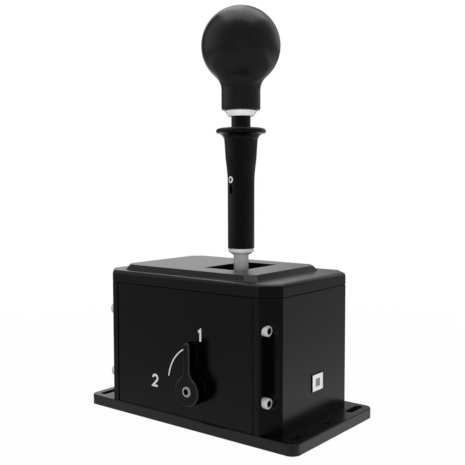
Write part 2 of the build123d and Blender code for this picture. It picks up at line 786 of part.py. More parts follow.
def stick_adapter():
    adapter = rod(neck_r, on_stick(adapter_foot), up, ring_foot - adapter_foot)
    adapter += rod(stud_r, on_stick(ring_foot), up, stud_length)
    adapter -= rod(shaft_r + press_gap, on_stick(adapter_foot - overrun), up, shaft_top - adapter_foot + overrun)
    return adapter - rod(stop_pin_r + press_gap, on_stick(stop_z), stop_side, neck_r + overrun)


stop_pin_end = (neck_r + sleeve_r) / 2
keep("lockout_sleeve", lockout_sleeve())
keep("sleeve_bush", tube(sleeve_cavity_r - press_gap, shaft_r + running_gap, on_stick(sleeve_foot), up,
                         sleeve_bush_height))
keep("lockout_spring", coil_sleeve(sleeve_cavity_r - slide_gap, (sleeve_cavity_r - shaft_r) / 2,
                                   on_stick(sleeve_foot + sleeve_bush_height), up,
                                   adapter_foot - sleeve_foot - sleeve_bush_height))
keep("stick_adapter", stick_adapter())
stop_pin_foot = (stick_x + stop_side[0] * shaft_r, stop_side[1] * shaft_r, stop_z)
keep("sleeve_stop_pin", rod(stop_pin_r, stop_pin_foot, stop_side, stop_pin_end - shaft_r))
keep("lock_ring", turned([(stud_r + press_gap, 0), (ring_foot_r, 0), (ring_top_r, ring_height - edge_ease),
                          (ring_top_r - edge_ease, ring_height), (stud_r + press_gap, ring_height)],
                         on_stick(ring_foot)))


def knob():
    centre = knob_height - knob_r
    blend_x = knob_neck_r + knob_blend
    blend_z = centre - sqrt((knob_r + knob_blend) ** 2 - blend_x ** 2)
    touch = knob_r / (knob_r + knob_blend)
    touch_x, touch_z = blend_x * touch, centre + (blend_z - centre) * touch
    half_lean = (atan2(centre - blend_z, blend_x)) / 2
    mid = (blend_x - knob_blend * cos(half_lean), 0, blend_z + knob_blend * sin(half_lean))
    neck_arc = ThreePointArc((knob_neck_r, 0, blend_z), mid, (touch_x, 0, touch_z))
    ball_arc = ThreePointArc((touch_x, 0, touch_z), (knob_r, 0, centre), (0, 0, knob_height))
    rest = Polyline((0, 0, knob_height), (0, 0, 0), (knob_neck_r - knob_edge, 0, 0))
    edge = ThreePointArc((knob_neck_r - knob_edge, 0, 0),
                         (knob_neck_r - knob_edge * (1 - sqrt(0.5)), 0, knob_edge * (1 - sqrt(0.5))),
                         (knob_neck_r, 0, knob_edge))
    neck = Line((knob_neck_r, 0, knob_edge), (knob_neck_r, 0, blend_z))
    ball = revolve(make_face([ball_arc, rest, edge, neck, neck_arc]), Axis.Z)
    ball -= rod(insert_r + press_gap, (0, 0, -overrun), up, stud_length + overrun)
    return Pos(*on_stick(knob_foot)) * ball


insert_length = stud_length - face_gap
keep("knob", knob())
keep("knob_insert", tube(insert_r, stud_r + press_gap, on_stick(knob_foot), up, insert_length))

# Cover: rim, raised plateau and the opening for the stick
cover_wall = 5
cover_top = 4
cover_round = 2.5
plateau_front_inset = 23.2
plateau_rear_inset = 13.2
plateau_side_inset = 9.5
plateau_slope = 2.5
plateau_corner = 6
plateau_wall = 4
opening_length = 29.4
opening_width = 44.4
opening_corner = 0.8

plateau_front = cap_outer - plateau_front_inset
plateau_rear = cap_outer - plateau_rear_inset
plateau_half = flank - plateau_side_inset


def plateau_outline(grow, corner):
    """The plateau's plan, grown outwards by a length."""
    length = plateau_front + plateau_rear + grow * 2
    outline = Rectangle(length, (plateau_half + grow) * 2)
    return Pos((plateau_front - plateau_rear) / 2, 0, 0) * chamfer(outline.vertices(), corner)


def body_outline(inset):
    outline = Rectangle(body_length - inset * 2, body_width - inset * 2)
    return chamfer(outline.vertices(), corner_chamfer - inset / 2)


def top_cover():
    cover = extrude(Pos(0, 0, seam) * body_outline(0), cover_rise)
    cover = fillet(cover.faces().sort_by(Axis.Z)[-1].edges(), cover_round)
    cover = chamfer(cover.faces().sort_by(Axis.Z)[0].edges(), seam_ease)
    low = Pos(0, 0, shelf) * plateau_outline(plateau_slope, plateau_corner)
    high = Pos(0, 0, plateau_top) * plateau_outline(0, plateau_corner)
    cover += loft([low, high], ruled=True)
    cover -= extrude(Pos(0, 0, seam - overrun) * body_outline(cover_wall), cover_rise - cover_top + overrun)
    cover -= extrude(Pos(0, 0, seam) * plateau_outline(-plateau_wall, plateau_corner), cover_rise)
    opening = RectangleRounded(opening_length, opening_width, opening_corner)
    cover -= extrude(Pos(stick_x, 0, seam) * opening, plateau_top - seam + overrun)
    for end, boss_top in ((-1, shelf + cover_top / 4), (1, shelf - cover_top / 2)):
        for side in (-1, 1):
            place = (end * boss_x, side * boss_y, deck_top)
            cover += rod(boss_r, place, up, boss_top - deck_top)
            cover -= rod(m3_cap.shank_r + screw_gap, (place[0], place[1], deck_top - overrun), up,
                         inner_screw_length - deck_thick + overrun)
    return cover


keep("top_cover", top_cover())

# All the M3 screws inside the housing
inner_screws = []
for end in (-1, 1):
    for side in (-1, 1):
        seat = (end * rail_screw_x, side * (side_inner - rail_wide), rail_screw_z)
        inner_screws.append(cap_screw(m3_cap, seat, (0, -side, 0), inner_screw_length + rail_wide / 2))
        inner_screws.append(cap_screw(m3_cap, (end * deck_screw_x, side * deck_screw_y, deck_top), up,
                                      inner_screw_length))
        inner_screws.append(cap_screw(m3_cap, (end * boss_x, side * boss_y, deck_foot), down, inner_screw_length))
for x, y in gate_screw_places:
    inner_screws.append(cap_screw(m3_cap, (x, y, deck_top + gate_thick), up, thin_screw_length))
for x, y in detent_screw_places:
    inner_screws.append(cap_screw(m3_cap, (x, y, deck_top), up, thin_screw_length))

# Mode lever, its shaft, and the plunger that a helical slot pushes towards the ring
lever_thick = 8
lever_standoff = 1.4
lever_r = 9.85
lever_reach = 32
lever_stem = 5.2
lever_blend = 8
lever_round = 1
lever_web = 1.5
lever_counterbore_r = 4.2
shaft_end = 30.4
cam_pin_r = 1.25
cam_pin_half = 6
cam_pin_from_end = 1.8
plunger_rear_gap = 0.2
plunger_length = 10.4
plunger_cap = 1.5
plunger_nose_r = 3
tip_gap = 0.3
cam_steps = 12

lever_back = -side_outer - bush_flange - lever_standoff
lever_front = lever_back - lever_thick
counterbore_floor = lever_front + m4_cap.head_h + face_gap
mode_shaft_front = counterbore_floor + lever_web
plunger_rear = -side_inner + plunger_rear_gap
plunger_front = plunger_rear + plunger_length
plunger_tip = -yoke_r - tip_gap - mode_travel
mode_shaft_rear = plunger_front - plunger_cap - face_gap * 2
cam_pin_y = mode_shaft_rear - cam_pin_from_end
along = (0, 1, 0)


def at_lever(y):
    return (stick_x, y, pivot_z)


def mode_lever():
    tip = lever_reach - lever_stem / 2
    outline = Circle(lever_r) + Pos(0, tip / 2, 0) * Rectangle(lever_stem, tip)
    corners = [v for v in outline.vertices() if 0 < v.Y < lever_r]
    outline = fillet(corners, lever_blend) if corners else outline
    outline += Pos(0, tip, 0) * Circle(lever_stem / 2)
    face = Plane(origin=at_lever(lever_front), x_dir=(1, 0, 0), z_dir=(0, -1, 0))
    lever = extrude(face * outline, -lever_thick)
    front = lever.faces().sort_by(Axis.Y)[0]
    lever = chamfer(front.edges(), lever_round)
    lever -= rod(lever_counterbore_r, at_lever(lever_front - overrun), along, m4_cap.head_h + face_gap + overrun)
    lever -= rod(m4_cap.shank_r + screw_gap, at_lever(lever_front), along, lever_thick)
    return lever - rod(pin_r + press_gap, at_lever(mode_shaft_front), along, lever_thick)


def mode_shaft():
    shaft = rod(pin_r, at_lever(mode_shaft_front), along, mode_shaft_rear - mode_shaft_front)
    shaft -= rod(m4_cap.shank_r + screw_gap, at_lever(mode_shaft_front - overrun), along, inner_screw_length)
    return shaft - rod(cam_pin_r + press_gap, (stick_x, cam_pin_y, pivot_z - pin_r - overrun), up,
                       (pin_r + overrun) * 2)


def mode_bush():
    bush = tube(bush_r, pin_r + running_gap, at_lever(-side_outer), along, side_outer - side_inner)
    return bush + tube(bush_flange_r, pin_r + running_gap, at_lever(-side_outer - bush_flange), along, bush_flange)


def plunger_outline(grow):
    """A round with two flats, so that the plunger can't turn in its guide."""
    flats = Rectangle((plunger_r + grow) * 2, (plunger_flat + grow) * 2)
    return Circle(plunger_r + grow) & flats


def lock_plunger():
    face = Plane(origin=at_lever(plunger_rear), x_dir=(1, 0, 0), z_dir=along)
    plunger = extrude(face * plunger_outline(0), plunger_length)
    plunger -= rod(pin_r + running_gap, at_lever(plunger_rear - overrun), along, plunger_length - plunger_cap + overrun)
    rise = plunger_tip - plunger_front
    ball_big_r = (plunger_nose_r ** 2 + rise ** 2) / (2 * rise)
    nose = Pos(*at_lever(plunger_tip - ball_big_r)) * Sphere(ball_big_r)
    plunger += nose & rod(plunger_nose_r, at_lever(plunger_front - plunger_cap / 2), along, plunger_length)
    slot_r = cam_pin_r + face_gap
    for step in range(cam_steps + 2):
        share = step / cam_steps
        lean = radians(mode_turn) * share
        across = (-sin(lean), 0, cos(lean))
        foot = (stick_x - plunger_r * across[0] * 1.2, cam_pin_y - mode_travel * share,
                pivot_z - plunger_r * across[2] * 1.2)
        plunger -= rod(slot_r, foot, across, plunger_r * 2.4)
    return plunger


def mode_guide():
    shape = block(stick_x - guide_half, stick_x + guide_half, -side_inner, guide_length - side_inner,
                  pivot_z - guide_half_height, pivot_z + guide_half_height)
    face = Plane(origin=at_lever(-side_inner - overrun), x_dir=(1, 0, 0), z_dir=along)
    shape -= extrude(face * plunger_outline(running_gap), guide_length + overrun * 2)
    for end in (-1, 1):
        shape -= rod(m3_cap.shank_r + screw_gap, (stick_x + end * guide_screw_x, -side_inner - overrun, pivot_z),
                     along, guide_length + overrun * 2)
    return shape


for end in (-1, 1):
    seat = (stick_x + end * guide_screw_x, guide_length - side_inner, pivot_z)
    inner_screws.append(cap_screw(m3_cap, seat, along, guide_length + inner_screw_length / 2))

keep("mode_lever", mode_lever())
keep("lever_screw", cap_screw(m4_cap, at_lever(counterbore_floor), (0, -1, 0), inner_screw_length))
keep("mode_shaft", mode_shaft())
keep("mode_bush", mode_bush())
keep("cam_pin", rod(cam_pin_r, (stick_x, cam_pin_y, pivot_z - cam_pin_half), up, cam_pin_half * 2))
keep("lock_plunger", lock_plunger())
keep("mode_guide", mode_guide())
keep("inner_screws", *inner_screws)

# Badge plate, left bare, low on the front cap
badge_wide = 13.4
badge_high = 11.8
badge_thick = 0.6
badge_y = 1.6
badge_over = 25
badge_corner = 0.8
badge_face = Plane(origin=(cap_outer, badge_y, plate_top + badge_over), x_dir=(0, 1, 0), z_dir=(1, 0, 0))
keep("badge_plate", extrude(badge_face * RectangleRounded(badge_wide, badge_high, badge_corner), badge_thick))


def data_socket():
    outer = RectangleRounded(socket_wide, socket_high, socket_high / 2 - socket_wall / 8)
    inner = RectangleRounded(socket_wide - socket_wall * 2, socket_high - socket_wall * 2,
                             socket_high / 2 - socket_wall * 1.2)
    face = Plane(origin=(-board_face, 0, socket_z), x_dir=(0, 1, 0), z_dir=back)
    shell = extrude(face * outer, socket_length)
    shell -= Pos(-socket_wall * 2, 0, 0) * extrude(face * inner, socket_length)
    tongue = extrude(face * Rectangle(socket_wide - socket_wall * 6, tongue_thick), tongue_length)
    return shell + tongue


def control_board():
    card = block(-board_face, -board_face + board_thick, -board_half, board_half,
                 socket_z - board_half_height, socket_z + board_half_height)
    for x, y, z in board_hole_places:
        card -= rod(board_hole_r, (x - overrun, y, z), (1, 0, 0), board_thick + overrun * 2)
    return card


board_screw = Screw(shank_r=1.25, head_r=2.3, head_h=1.6, socket_r=1, socket_deep=0.8, ease=0.2)
board_screw_length = 5
keep("data_socket", data_socket())
keep("control_board", control_board())
keep("board_screws", *[cap_screw(board_screw, (x + board_thick, y, z), (1, 0, 0), board_screw_length)
                       for x, y, z in board_hole_places])

os.makedirs("parts", exist_ok=True)
for name, node in nodes.items():
    export_step(node, f"parts/{name}.step")
print(len(nodes), "nodes, pivot at", (stick_x, 0, pivot_z), "shield top", pivot_z + shield_r)
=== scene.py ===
import bpy
import bmesh
import math
from mathutils import Matrix, Vector


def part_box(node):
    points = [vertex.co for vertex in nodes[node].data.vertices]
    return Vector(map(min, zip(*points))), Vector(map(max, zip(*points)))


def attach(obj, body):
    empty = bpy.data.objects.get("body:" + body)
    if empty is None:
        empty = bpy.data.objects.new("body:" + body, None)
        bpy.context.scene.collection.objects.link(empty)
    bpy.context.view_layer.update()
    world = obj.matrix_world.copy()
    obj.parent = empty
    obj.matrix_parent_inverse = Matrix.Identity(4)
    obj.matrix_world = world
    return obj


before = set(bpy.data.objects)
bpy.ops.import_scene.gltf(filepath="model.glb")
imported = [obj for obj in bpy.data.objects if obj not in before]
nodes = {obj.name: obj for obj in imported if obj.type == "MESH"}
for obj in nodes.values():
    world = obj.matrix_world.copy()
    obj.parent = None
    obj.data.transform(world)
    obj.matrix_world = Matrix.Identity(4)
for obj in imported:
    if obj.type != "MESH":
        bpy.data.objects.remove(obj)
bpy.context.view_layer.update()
scene = bpy.context.scene
scene.view_settings.view_transform = "Standard"
print("frame loaded:", len(nodes), "nodes")

# the frame is in metres; stickX, pivotZ and what is named Mm are in mm
# the stick's axis and the mode lever's pivot share stickX
mm = 0.001
stickX = 13.5
pivotZ = 28


def hexColour(text):
    # sRGB hex to linear RGBA
    channels = [int(text[i:i + 2], 16) / 255 for i in (0, 2, 4)]
    linear = [c / 12.92 if c <= 0.04045 else ((c + 0.055) / 1.055) ** 2.4 for c in channels]
    return (*linear, 1)


def addNode(tree, kind, settings=None):
    # a key is an input or an attribute of the node; a value is fixed, or the output that feeds the input
    node = tree.nodes.new(kind)
    for key, value in (settings or {}).items():
        if isinstance(value, bpy.types.NodeSocket):
            tree.links.new(value, node.inputs[key])
        elif isinstance(key, int) or key in node.inputs:
            node.inputs[key].default_value = value
        else:
            setattr(node, key, value)
    return node


def mathNode(tree, operation, *inputs):
    return addNode(tree, "ShaderNodeMath", {"operation": operation, **dict(enumerate(inputs))}).outputs[0]


def vectorNode(tree, operation, *inputs):
    node = addNode(tree, "ShaderNodeVectorMath", {"operation": operation, **dict(enumerate(inputs))})
    return node.outputs["Value" if operation == "LENGTH" else "Vector"]


def rangeNode(tree, value, start, end, low=0, high=1):
    settings = {"From Min": start, "From Max": end, "To Min": low, "To Max": high, "Value": value}
    return addNode(tree, "ShaderNodeMapRange", settings).outputs["Result"]


def mixColour(tree, factor, first, second):
    # each colour is hex text or an output
    ends = [hexColour(colour) if isinstance(colour, str) else colour for colour in (first, second)]
    settings = {"data_type": "RGBA", 0: factor, 6: ends[0], 7: ends[1]}
    return addNode(tree, "ShaderNodeMix", settings).outputs[2]


def newMaterial(name):
    material = bpy.data.materials.new(name)
    material.use_nodes = True
    tree = material.node_tree
    tree.nodes.clear()
    return material, tree


def shaderOf(material):
    return [node for node in material.node_tree.nodes if node.type == "BSDF_PRINCIPLED"][0]


noise = {"driftDetail": 3.0, "grainDetail": 2.0, "grainRoughness": 0.6}


def surfaceMaterial(name, spec):
    # colour drifts softly between two close tones; grain gives bump and breaks up the gloss
    material, tree = newMaterial(name)
    place = addNode(tree, "ShaderNodeTexCoord").outputs["Object"]
    drift = addNode(tree, "ShaderNodeTexNoise", {
        "Scale": 1 / (spec["driftMm"] * mm), "Detail": noise["driftDetail"], "Vector": place})
    tone = mixColour(tree, drift.outputs["Fac"], spec["dark"], spec["light"])
    stretch = addNode(tree, "ShaderNodeMapping", {"Scale": spec.get("stretch", (1, 1, 1)), "Vector": place})
    grain = addNode(tree, "ShaderNodeTexNoise", {
        "Scale": 1 / (spec["grainMm"] * mm), "Detail": noise["grainDetail"],
        "Roughness": noise["grainRoughness"], "Vector": stretch.outputs["Vector"]}).outputs["Fac"]
    gloss = rangeNode(tree, grain, 0, 1, *spec["roughness"])
    bump = addNode(tree, "ShaderNodeBump", {
        "Strength": spec["bump"], "Distance": spec["grainDeepMm"] * mm, "Height": grain})
    shader = addNode(tree, "ShaderNodeBsdfPrincipled", {
        **spec["shader"], "Base Color": tone, "Roughness": gloss, "Normal": bump.outputs["Normal"]})
    addNode(tree, "ShaderNodeOutputMaterial", {"Surface": shader.outputs["BSDF"]})
    return material


def facing(tree, axis):
    # how squarely the surface looks along the axis, from 0 to 1
    normal = addNode(tree, "ShaderNodeNewGeometry").outputs["Normal"]
    return mathNode(tree, "ABSOLUTE", addNode(tree, "ShaderNodeSeparateXYZ", {0: normal}).outputs[axis])


sheenTurn = (0.1, 0.55)  # between these two facings the gloss changes over


def paintedSheenByFacing(material, axis, across, along):
    # painted sheen and shade: gloss of the faces across the axis and of those that look along it
    tree = material.node_tree
    sheen = rangeNode(tree, facing(tree, axis), *sheenTurn, across, along)
    tree.links.new(sheen, shaderOf(material).inputs["Specular IOR Level"])


def paintedHighlightByFacing(material, axis, tilt, spread, colour):
    # where the facing lies within the spread of the tilt, a paler colour is mixed in: a painted highlight
    tree = material.node_tree
    base = shaderOf(material).inputs["Base Color"]
    paintedPale = mathNode(tree, "COMPARE", facing(tree, axis), tilt, spread)
    tree.links.new(mixColour(tree, paintedPale, base.links[0].from_socket, colour), base)


# bead-blasted black anodised aluminium: the dye swallows light, so soft reflections give the panels form
blastedAnodised = surfaceMaterial("blastedAnodised", {
    "dark": "020202", "light": "040404", "driftMm": 30,
    "grainMm": 0.5, "grainDeepMm": 0.01, "bump": 0.1,  # 0.1 mm blast grit, drawn at 0.5 mm
    "roughness": (0.2, 0.27), "shader": {"Metallic": 0.0, "IOR": 1.5, "Specular IOR Level": 0.5}})
# the cover and end caps have a coarser blast, which softens what they mirror
satinAnodised = surfaceMaterial("satinAnodised", {
    "dark": "020202", "light": "050505", "driftMm": 40, "grainMm": 0.6, "grainDeepMm": 0.012, "bump": 0.15,
    "roughness": (0.25, 0.33), "shader": {"Metallic": 0.0, "IOR": 1.5, "Specular IOR Level": 0.5}})
# the lever's flanks get almost no gloss, a painted shade, so only its two flat faces shine; its rounded
# edges get a paler colour, a painted highlight
leverAnodised = surfaceMaterial("leverAnodised", {
    "dark": "020202", "light": "040404", "driftMm": 20, "grainMm": 0.5, "grainDeepMm": 0.01, "bump": 0.1,
    "roughness": (0.22, 0.29), "shader": {"Metallic": 0.0, "IOR": 1.5}})
paintedSheenByFacing(leverAnodised, "Y", across=0.04, along=0.5)
paintedHighlightByFacing(leverAnodised, "Y", tilt=0.6, spread=0.32, colour="2A2A2A")
# the plate's edges get a paler colour and more gloss than its top: a painted highlight
plateAnodised = surfaceMaterial("plateAnodised", {
    "dark": "030303", "light": "070707", "driftMm": 40, "grainMm": 0.6, "grainDeepMm": 0.012, "bump": 0.15,
    "roughness": (0.25, 0.33), "shader": {"Metallic": 0.0, "IOR": 1.5}})
paintedSheenByFacing(plateAnodised, "Z", across=0.8, along=0.5)
paintedHighlightByFacing(plateAnodised, "Z", tilt=0, spread=0.5, colour="1A1A1A")
# moulded hard rubber: greyer black than the metal, with a broad soft highlight
mouldedRubber = surfaceMaterial("mouldedRubber", {
    "dark": "121212", "light": "161616", "driftMm": 18, "grainMm": 0.6, "grainDeepMm": 0.01, "bump": 0.12,
    "roughness": (0.24, 0.32), "shader": {"Metallic": 0.0, "IOR": 1.5, "Specular IOR Level": 0.5}})
# turned and polished stainless steel: bright, with faint lathe rings along Z
turnedSteel = surfaceMaterial("turnedSteel", {
    "dark": "C2C3C4", "light": "D8D9D9", "driftMm": 12,
    "grainMm": 0.5, "grainDeepMm": 0.01, "bump": 0.12,  # 0.1 mm feed, drawn at 0.5 mm
    "stretch": (0.05, 0.05, 1.0), "roughness": (0.14, 0.22), "shader": {"Metallic": 1.0}})
# glass-beaded aluminium for the lock ring: frosted, so it stays white from every side
beadedAluminium = surfaceMaterial("beadedAluminium", {
    "dark": "FAFAFA", "light": "FEFEFE", "driftMm": 10, "grainMm": 0.5, "grainDeepMm": 0.01, "bump": 0.1,
    "roughness": (0.4, 0.5), "shader": {"Metallic": 0.05}})
# satin turned aluminium for the collar: pale all over, with little mirror left
satinAluminium = surfaceMaterial("satinAluminium", {
    "dark": "E8E9EA", "light": "F1F1F1", "driftMm": 10, "grainMm": 0.5, "grainDeepMm": 0.01, "bump": 0.1,
    "stretch": (0.05, 0.05, 1.0), "roughness": (0.35, 0.45), "shader": {"Metallic": 0.25}})
# centreless-ground steel for the stick: silky grey with fine rings
groundSteel = surfaceMaterial("groundSteel", {
    "dark": "DADBDC", "light": "E4E4E4", "driftMm": 10,
    "grainMm": 0.5, "grainDeepMm": 0.01, "bump": 0.12,  # 0.1 mm rings, drawn at 0.5 mm
    "stretch": (0.05, 0.05, 1.0), "roughness": (0.28, 0.38), "shader": {"Metallic": 0.55}})
# milled bare aluminium inside the box: pale grey with cutter marks
milledAluminium = surfaceMaterial("milledAluminium", {
    "dark": "8F9295", "light": "A3A6A9", "driftMm": 15, "grainMm": 0.8, "grainDeepMm": 0.02, "bump": 0.25,
    "stretch": (1.0, 0.1, 1.0), "roughness": (0.3, 0.45), "shader": {"Metallic": 1.0}})
# zinc-plated steel screws: bright neutral grey, clouded by the plating
platedSpec = {
    "dark": "DCDDDE", "light": "E8E8E9", "driftMm": 3, "grainMm": 0.4, "grainDeepMm": 0.01, "bump": 0.15,
    "roughness": (0.25, 0.37), "shader": {"Metallic": 0.4}}
platedSteel = surfaceMaterial("platedSteel", platedSpec)
# black-oxide steel screws: oily near-black metal
oxideSteel = surfaceMaterial("oxideSteel", {
    "dark": "202021", "light": "2B2B2C", "driftMm": 3, "grainMm": 0.4, "grainDeepMm": 0.01, "bump": 0.2,
    "roughness": (0.32, 0.48), "shader": {"Metallic": 0.6}})
# drawn spring wire: mid grey, streaked along its length
springWire = surfaceMaterial("springWire", {
    "dark": "7E8185", "light": "989B9F", "driftMm": 3, "grainMm": 0.7, "grainDeepMm": 0.15, "bump": 0.6,
    "stretch": (0.1, 0.1, 1.0), "roughness": (0.28, 0.4), "shader": {"Metallic": 1.0}})
# turned brass insert: warm metal, slightly dulled
turnedBrass = surfaceMaterial("turnedBrass", {
    "dark": "9A7440", "light": "B98F55", "driftMm": 5, "grainMm": 0.5, "grainDeepMm": 0.01, "bump": 0.15,
    "roughness": (0.28, 0.42), "shader": {"Metallic": 1.0}})
# machined black acetal for the lever's bush: flat black, slightly waxy
blackAcetal = surfaceMaterial("blackAcetal", {
    "dark": "080808", "light": "0C0C0C", "driftMm": 8, "grainMm": 0.6, "grainDeepMm": 0.01, "bump": 0.15,
    "roughness": (0.4, 0.5), "shader": {"Metallic": 0.0, "IOR": 1.48}})
# machined natural acetal for the glide bush: off-white, waxy
acetal = surfaceMaterial("acetal", {
    "dark": "CFCDC4", "light": "DEDCD3", "driftMm": 8, "grainMm": 0.6, "grainDeepMm": 0.01, "bump": 0.1,
    "roughness": (0.35, 0.45), "shader": {"Metallic": 0.0, "IOR": 1.48, "Subsurface Weight": 0.05}})
# solder-masked glass epoxy board: green, glossy over a fine weave
circuitBoard = surfaceMaterial("circuitBoard", {
    "dark": "12402A", "light": "1B5638", "driftMm": 2.5, "grainMm": 0.5, "grainDeepMm": 0.01, "bump": 0.15,
    "roughness": (0.25, 0.4), "shader": {"Metallic": 0.0, "IOR": 1.5}})
# nickel-plated magnets: warm mirror-like grey
nickelPlate = surfaceMaterial("nickelPlate", {
    "dark": "B9B6AE", "light": "CFCCC5", "driftMm": 3, "grainMm": 0.4, "grainDeepMm": 0.01, "bump": 0.1,
    "roughness": (0.14, 0.24), "shader": {"Metallic": 1.0}})
# gloss lacquered badge plate: black with a clear wet coat
glossLacquer = surfaceMaterial("glossLacquer", {
    "dark": "0A0A0A", "light": "0E0E0E", "driftMm": 6, "grainMm": 0.5, "grainDeepMm": 0.005, "bump": 0.05,
    "roughness": (0.12, 0.2),
    "shader": {"Metallic": 0.0, "IOR": 1.5, "Coat Weight": 0.5, "Coat Roughness": 0.05}})
# screen-printed ink in pale grey: flat, slightly raised, hardly any gloss
printedInk = surfaceMaterial("printedInk", {
    "dark": "D2D2D2", "light": "DEDEDE", "driftMm": 4, "grainMm": 0.4, "grainDeepMm": 0.01, "bump": 0.2,
    "roughness": (0.5, 0.65), "shader": {"Metallic": 0.0, "IOR": 1.45}})
# white enamel of the badge: brighter than the ink
whiteEnamel = surfaceMaterial("whiteEnamel", {
    "dark": "F8F8F8", "light": "FDFDFD", "driftMm": 4, "grainMm": 0.4, "grainDeepMm": 0.005, "bump": 0.1,
    "roughness": (0.3, 0.4), "shader": {"Metallic": 0.0, "IOR": 1.5}})
# screen-printed ink tinted mid grey, for the badge's square
greyInk = surfaceMaterial("greyInk", {
    "dark": "8A8A8A", "light": "949494", "driftMm": 4, "grainMm": 0.4, "grainDeepMm": 0.01, "bump": 0.2,
    "roughness": (0.5, 0.65), "shader": {"Metallic": 0.0, "IOR": 1.45}})

# the hex sockets of the plated screws are painted near-black as shade: how far the painted shade goes round
# the axis and down from the head's end
socket = {"radiusMm": 2.05, "deepMm": 3.9, "headRadiusMm": 3.5, "colour": "0A0A0A"}


def steelWithPaintedSocketShade(name, spec, node, centre, half, axis):
    # plated steel with painted shade in its sockets; a point belongs to one when it lies near the axis of a
    # head and within the head's height, with the heads mirrored about the centre at half their spacing
    material = surfaceMaterial(name, spec)
    tree = material.node_tree
    base = shaderOf(material).inputs["Base Color"]
    place = addNode(tree, "ShaderNodeTexCoord").outputs["Object"]
    localCentre = nodes[node].matrix_world.inverted() @ Vector(centre)
    away = vectorNode(tree, "ABSOLUTE", vectorNode(tree, "SUBTRACT", place, localCentre))
    away = vectorNode(tree, "SUBTRACT", away, half)
    flatten = [float(letter != axis) for letter in "XYZ"]
    reach = vectorNode(tree, "LENGTH", vectorNode(tree, "MULTIPLY", away, flatten))
    nearAxis = mathNode(tree, "LESS_THAN", reach, socket["radiusMm"] * mm)
    depth = addNode(tree, "ShaderNodeSeparateXYZ", {0: away}).outputs[axis]
    inHead = mathNode(tree, "GREATER_THAN", depth, -socket["deepMm"] * mm)
    paintedSocketShade = mathNode(tree, "MULTIPLY", nearAxis, inHead)
    tree.links.new(mixColour(tree, paintedSocketShade, base.links[0].from_socket, socket["colour"]), base)
    return material


cornerLow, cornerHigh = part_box("corner_screws")
cornerCentre = (0, 0, (cornerLow.z + cornerHigh.z) / 2)
cornerHalf = (cornerHigh.x, cornerHigh.y - socket["headRadiusMm"] * mm,
              (cornerHigh.z - cornerLow.z) / 2 - socket["headRadiusMm"] * mm)
cornerSteel = steelWithPaintedSocketShade("cornerSteel", platedSpec, "corner_screws", cornerCentre, cornerHalf, "X")
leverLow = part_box("lever_screw")[0]
leverSpec = {**platedSpec, "dark": "A6A7A8", "light": "B2B2B3"}  # the lever's own screw is duller
leverSteel = steelWithPaintedSocketShade("leverSteel", leverSpec, "lever_screw", (stickX * mm, 0, pivotZ * mm),
                           (0, -leverLow.y, 0), "Y")

# the lines where the side plates, the caps and the cover meet, placed by one side plate; their gloss is cut
# as a painted shade
seamShade = {"halfMm": 0.3, "sheenInside": 0.03, "sheenAround": 0.5}
wallLow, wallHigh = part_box("lever_side_plate")


def paintedSeamShade(material):
    # hardly any sheen along those lines, a painted shade for the gaps between the plates
    tree = material.node_tree
    place = addNode(tree, "ShaderNodeTexCoord").outputs["Object"]
    split = addNode(tree, "ShaderNodeSeparateXYZ", {0: place})
    gap = seamShade["halfMm"] * mm
    seam = mathNode(tree, "COMPARE", split.outputs["Z"], wallHigh.z, gap)
    upright = mathNode(tree, "COMPARE", mathNode(tree, "ABSOLUTE", split.outputs["X"]), wallHigh.x, gap)
    wallMiddle, wallHalf = (wallLow.z + wallHigh.z) / 2, (wallHigh.z - wallLow.z) / 2
    onWall = mathNode(tree, "COMPARE", split.outputs["Z"], wallMiddle, wallHalf)
    line = mathNode(tree, "MAXIMUM", seam, mathNode(tree, "MULTIPLY", upright, onWall))
    sheen = rangeNode(tree, line, 0, 1, seamShade["sheenAround"], seamShade["sheenInside"])
    tree.links.new(sheen, shaderOf(material).inputs["Specular IOR Level"])


# painted shade along the housing's seams
paintedSeamShade(blastedAnodised)
paintedSeamShade(satinAnodised)

# the nodes that each material goes to
finishes = {
    blastedAnodised: "lever_side_plate plain_side_plate lockout_sleeve dust_shield stick_adapter",
    satinAnodised: "top_cover front_end_cap rear_end_cap",
    plateAnodised: "base_plate",
    leverAnodised: "mode_lever",
    mouldedRubber: "knob",
    groundSteel: "stick_shaft",
    turnedSteel: "cross_shaft pivot_pins gate_plate detent_block gate_pin mode_shaft cam_pin lock_plunger "
                 "sleeve_stop_pin detent_ball detent_holder select_bearings shift_bearings data_socket",
    beadedAluminium: "lock_ring",
    satinAluminium: "stick_collar",
    milledAluminium: "deck_plate deck_rails front_bearing_block rear_bearing_block mode_guide yoke "
                     "pivot_spacers stick_hub gate_arm shield_ring",
    platedSteel: "board_screws hub_pin hub_washers",
    cornerSteel: "corner_screws",
    leverSteel: "lever_screw",
    oxideSteel: "base_screws inner_screws arm_screw",
    springWire: "lever_side_spring plain_side_spring detent_spring lockout_spring",
    turnedBrass: "knob_insert",
    blackAcetal: "mode_bush",
    acetal: "sleeve_bush",
    circuitBoard: "control_board select_sensor_board shift_sensor_board",
    nickelPlate: "select_magnet shift_magnet",
    glossLacquer: "badge_plate",
}
for material, names in finishes.items():
    for name in names.split():
        data = nodes[name].data
        data.materials.clear()
        data.materials.append(material)
print("materials given")

